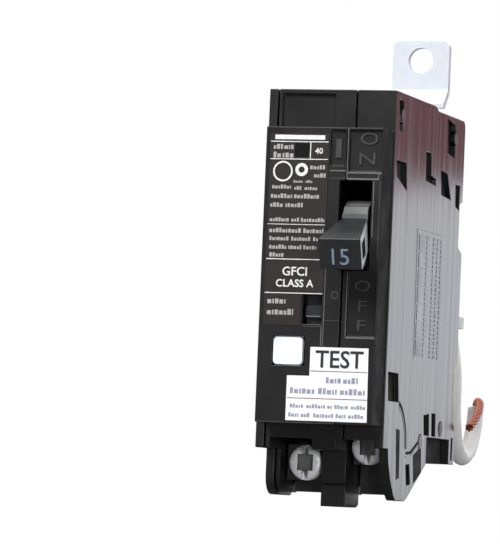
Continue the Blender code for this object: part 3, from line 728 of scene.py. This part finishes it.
def face_details():
    """Ridges, ledges and stacked letters on the raised face, lighter than the face as painted
    highlights.
    """
    # Painted highlights: thin grey ridges along panel edges, ledges, seams and the window.
    bright = raised_bars([
        (5.38, 61.9, 5.52, 71.6), (5.5, 62.95, 12.3, 63.2), (5.5, 61.8, 11.6, 62.05),
        (11.6, 61.8, 11.75, 63.2), (2.1, 63.3, 5.2, 63.55), (10.75, 50.9, 10.88, 61.5),
        (6.32, 32.0, 6.45, 44.2), (6.4, 31.7, 12.2, 31.95), (1.95, 25.4, 2.07, 46.0),
        (1.55, 30.2, 1.7, 33.8),
    ], FACE_Y, 0.08)
    finished(object_from(merged(bright)), "face_ridge_painted_highlights", EDGE_HIGHLIGHT, "case")
    # Painted highlights: fainter lines along edges, a small raised block and a ring round a dimple.
    soft = raised_bars([
        (1.9, 61.9, 5.1, 62.1), (11.95, 47.0, 12.1, 61.5), (1.95, 34.9, 5.2, 35.05),
        (-10.7, 71.45, 12.2, 71.6), (-10.7, 15.45, 4.8, 15.6), (-1.9, 33.7, 1.6, 33.85),
    ], FACE_Y, 0.06)
    soft += raised_bars([(3.0, 65.9, 4.1, 69.5)], FACE_Y + 0.6, 0.25)
    soft.append(ringed((4.0, 39.8), 0.75, 0.5, FACE_Y + 0.02, FACE_Y - 0.06))
    finished(object_from(merged(soft)), "face_fine_painted_highlights", FAINT_HIGHLIGHT, "case")
    panel_y = FACE_Y + 0.4
    # The embossed ON and OFF letters are coloured lighter as painted highlight.
    letters = [
        lettering(letter, size, x, z, panel_y, 0.25, stretch=stretch)
        for letter, size, x, z, stretch in (
            ("O", 3.3, 9.5, 68.5, 1.45), ("N", 3.3, 9.25, 64.7, 1.5),
            ("O", 3.0, 9.3, 40.7, 1.4), ("F", 3.0, 9.3, 36.9, 1.5), ("F", 3.0, 9.3, 33.2, 1.5),
        )
    ]
    finished(object_from(merged(letters)), "throw_letters", FAINT_HIGHLIGHT, "case")
    # Painted highlight along the fault flag's edge.
    flag = raised_bars([(-1.8, 35.65, 1.1, 35.85)], FACE_Y + 1.2, 0.05)
    finished(object_from(merged(flag)), "flag_edge_painted_highlight", EDGE_HIGHLIGHT, "fault_flag")


# --- Handle ----------------------------------------------------------------------------------


def on_finger(a, b, reach):
    """A point of the handle's finger: a across, b above its middle, reach from the pivot."""
    c, s = math.cos(HANDLE_TILT), math.sin(HANDLE_TILT)
    return at(HANDLE_X + a, HANDLE_Y - reach * c - b * s, HANDLE_Z - reach * s + b * c)


def finger_box(low, high):
    """Verts and faces of a box in the finger's own directions (across, up, reach)."""
    across, above, reach = zip(low, high)
    verts = [on_finger(a, b, r) for a in across for b in above for r in reach]
    faces = [
        (0, 1, 3, 2), (4, 6, 7, 5), (0, 4, 5, 1), (2, 3, 7, 6), (0, 2, 6, 4), (1, 5, 7, 3),
    ]
    return verts, faces


def polar(radius, degrees):
    a = math.radians(degrees)
    return (HANDLE_Y - radius * math.cos(a), HANDLE_Z + radius * math.sin(a))


def throw_handle():
    shell = cleaned("handle")
    for side in (-1, 1):
        near, far = (2.9, 6.0) if side > 0 else (-6.0, -2.9)
        subtract(shell, *finger_box((near, -1.7, 11.6), (far, 1.7, 16.2)))
    bevelled(shell, 0.2)
    shell.modifiers["bevel"].use_clamp_overlap = True
    finished(shell, "handle_shell", MECHANISM, "handle", ("handle",))
    # Painted highlight: the handle's right side near its end is pale.
    faced(shell, RING_HIGHLIGHT, lambda c, n: n.x > 0.9 and c.y < HANDLE_Y - 9.5)
    # Painted shade on the floors of the pockets in the handle's sides.
    faced(shell, SHADE_AND_PRINT_BLACK, lambda c, n: abs(abs(c.x - HANDLE_X) - 2.9) < 0.05 and abs(n.x) > 0.9)
    # The hub's steps are coloured lighter as painted highlights on their edges.
    steps = [polar(r, a) for r, a in (
        (7.85, 15), (7.85, 28), (7.3, 29), (7.3, 37), (6.8, 38), (6.8, 46), (5.0, 48), (5.0, 15),
    )]
    hub = object_from(merged([prism(steps, HANDLE_X - 2.5, HANDLE_X + 2.5, "YZ")]))
    bevelled(hub, 0.15)
    finished(hub, "hub_steps", FAINT_HIGHLIGHT, "handle")
    number = lettering(
        "15", 4.5, 0, 0, 0, 0.06,
        turn=lambda a, b, c: on_finger(a - 0.3, b - 2.1, FINGER_END + 0.05 + c),
    )
    finished(object_from(merged([number])), "rating_number", DIAL_INK, "handle")
    # Painted highlight along the top edge of the finger's end.
    edge = finger_box((-3.9, 2.82, FINGER_END - 0.1), (3.9, 3.0, FINGER_END + 0.04))
    finished(object_from(merged([edge])), "handle_edge_painted_highlight", EDGE_HIGHLIGHT, "handle")


def terminal_screws():
    """The screws keep their shape; their recesses are darker with painted shade."""
    for node in ("neutral_screw", "load_screw"):
        low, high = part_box(node)
        x, z = (low[0] + high[0]) / 2 / MM, (low[2] + high[2]) / 2 / MM
        front = low[1] / MM
        shell = refined(node, ZINC, 0.1, node)
        faced(
            shell, RECESS_SHADE,
            lambda c, n: front + 0.12 < c.y < front + 1.95 and math.hypot(c.x - x, c.z - z) < 2.2,
        )


housing()
terminal_screws()
side_details()
face_details()
throw_handle()

# --- Front print -----------------------------------------------------------------------------

FILM_Y = FACE_Y - 0.10
PRINT_Y = FILM_Y - 0.05


def flat_bars(bars):
    """Thin printed rectangles (x0, z0, x1, z1) on the face."""
    return raised_bars(bars, PRINT_Y, 0)


LETTER_WIDTHS = (0.62, 0.5, 0.7, 0.3, 0.58, 0.66, 0.44)
LETTER_TOPS = (1.0, 0.72, 0.78, 1.0, 0.72, 0.85, 0.7)


def greek(x0, x1, z, height, words):
    """A line of fine print as plain letter-sized bars, in words that share out the line."""
    total = sum(words) + 0.5 * (len(words) - 1)
    unit = (x1 - x0) / total
    bars, x, turn = [], x0, int(abs(x0 * 7 + z * 3))
    for word in words:
        end = x + word * unit
        while x < end - 0.2:
            wide = height * LETTER_WIDTHS[turn % 7]
            tall = height * LETTER_TOPS[(turn * 3) % 7]
            bars.append((x, z - height / 2, min(x + wide, end), z - height / 2 + tall))
            x += wide + 0.2 * height
            turn += 1
        x = end + 0.5 * unit
    return bars


def label():
    outline = [(-9.9, 70.4), (1.7, 70.4), (1.7, 40.1), (-2.6, 40.1), (-2.6, 33.9), (-9.9, 33.9)]
    film = object_from(merged([prism(outline, FACE_Y + 0.05, FILM_Y, "XZ")]))
    finished(film, "label_film", FILM, "case", ("rating_label",))
    bright = flat_bars([
        (-9.0, 69.25, 0.9, 70.1),
        (-9.8, 68.75, 1.6, 68.92), (-9.8, 65.42, 1.6, 65.58), (-1.98, 65.5, -1.8, 68.8),
        (-9.8, 53.0, 1.5, 53.12), (-9.8, 46.35, 1.6, 46.52), (-9.8, 39.92, 1.6, 40.08),
    ])
    bright.append(ringed((-7.2, 63.15), 1.95, 1.62, PRINT_Y + 0.02, PRINT_Y))
    bright.append(ringed((-3.5, 63.5), 1.25, 0.6, PRINT_Y + 0.02, PRINT_Y))
    bright += [
        lettering("GFCI", 2.35, -4.0, 43.35, PRINT_Y, weight=0.03),
        lettering("CLASS A", 2.0, -4.0, 41.2, PRINT_Y, weight=0.03),
        lettering("40", 1.55, -0.2, 66.6, PRINT_Y, weight=0.02),
    ]
    obj = object_from(merged(bright))
    finished(obj, "label_print_bright", INK, "case")
    lines = []
    for args in (
        (-9.2, -5.3, 67.85, 0.95, (3, 3)), (-9.2, -5.2, 66.3, 1.1, (2, 3)),
        (-1.8, 1.2, 64.0, 0.8, (4,)), (-1.0, 1.3, 62.45, 0.8, (3,)),
        (-5.0, -1.3, 61.25, 0.5, (3, 2)), (-9.2, -5.4, 60.2, 0.75, (5,)),
        (-4.8, -0.3, 60.0, 0.7, (2, 3)),
        (-9.4, 0.2, 58.45, 0.85, (6, 7)), (-9.4, -3.0, 56.75, 0.85, (3, 4)),
        (-9.4, 1.4, 53.95, 0.75, (5, 2, 6)), (-9.4, 1.3, 51.9, 0.85, (8, 5)),
        (-9.3, 0.3, 50.35, 0.75, (4, 4, 1)), (-9.3, 0.0, 48.75, 0.8, (4, 3, 3)),
        (-9.2, -6.2, 47.25, 0.8, (4,)),
        (-9.2, -5.6, 38.5, 1.1, (3,)), (-9.2, -4.0, 36.4, 1.1, (5,)),
    ):
        lines += greek(*args)
    obj = object_from(merged(flat_bars(lines)))
    finished(obj, "label_print_fine", FAINT_INK, "case")
    patch = object_from(merged(flat_bars([(-5.0, 65.9, -2.2, 68.5)])))
    finished(patch, "label_blank_panel", SHADE_AND_PRINT_BLACK, "case")


def sticker():
    outline = [(-0.3, 29.9), (11.1, 29.9), (11.3, 15.9), (-4.7, 15.9), (-4.7, 24.4), (-0.3, 24.4)]
    paper = object_from(merged([prism(outline, FACE_Y + 0.05, FILM_Y, "XZ")]))
    finished(paper, "sticker_paper", PAPER, "case", ("test_sticker",))
    word = lettering("TEST", 4.6, 5.5, 26.1, PRINT_Y, stretch=0.95, weight=0.06)
    rules = flat_bars([(-0.2, 25.3, 11.0, 25.42), (-4.5, 20.1, 11.2, 20.22)])
    title = object_from(merged([word, *rules]))
    finished(title, "sticker_word", BLACK_INK, "case")
    lines = []
    for args in (
        (3.0, 9.3, 23.7, 1.1, (3, 3)), (-4.0, 10.8, 21.6, 1.15, (4, 3, 4)),
        (-3.9, 10.9, 18.7, 0.75, (3, 4, 1, 3, 3)), (-4.1, 10.6, 17.0, 0.8, (2, 2, 4, 2, 3)),
    ):
        lines += greek(*args)
    fine = object_from(merged(flat_bars(lines)))
    finished(fine, "sticker_print", GREY_INK, "case")


label()
sticker()

# --- Carried-over CAD nodes ------------------------------------------------------------------

CARRIED = {
    ZINC: (
        "latch_cradle", "bimetal_strip", "armature", "arc_plate_1", "arc_plate_2", "arc_plate_3",
    ),
    # Painted shade: these parts sit in dark chambers and pockets, so their steel is darkened.
    SHADE_DARK_STEEL: (
        "neutral_lug", "load_lug", "neutral_clamp", "load_clamp", "load_strap", "neutral_strap",
        "case_rivet_1", "case_rivet_2", "case_rivet_3", "case_rivet_4",
    ),
    STEEL: (
        "test_button_spring", "handle_pin", "arm_pin", "cradle_pin", "toggle_spring",
        "magnet_yoke", "solenoid_plunger", "plunger_spring",
    ),
    TAB: ("line_tab",),
    COPPER_METAL: ("contact_arm", "flexible_braid", "sense_conductor", "neutral_conductor"),
    SILVER: ("fixed_contact", "moving_contact"),
    FIBRE: ("test_contact_base", "arc_chute_frame"),
    BOARD: ("circuit_board",),
    FERRITE: ("sense_toroid", "neutral_toroid"),
    TAPE: ("trip_solenoid", "film_capacitor"),
    EPOXY: ("storage_capacitor", "control_chip", "wire_grommet"),
    BLUE: ("surge_varistor", "drop_resistor"),
    BUTTON: ("test_button",),
    MECHANISM: ("fault_flag",),
    NYLON: ("coil_tie",),
}
for mat, names in CARRIED.items():
    for name in names:
        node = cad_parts[name]
        node.data.materials.clear()
        node.data.materials.append(mat)
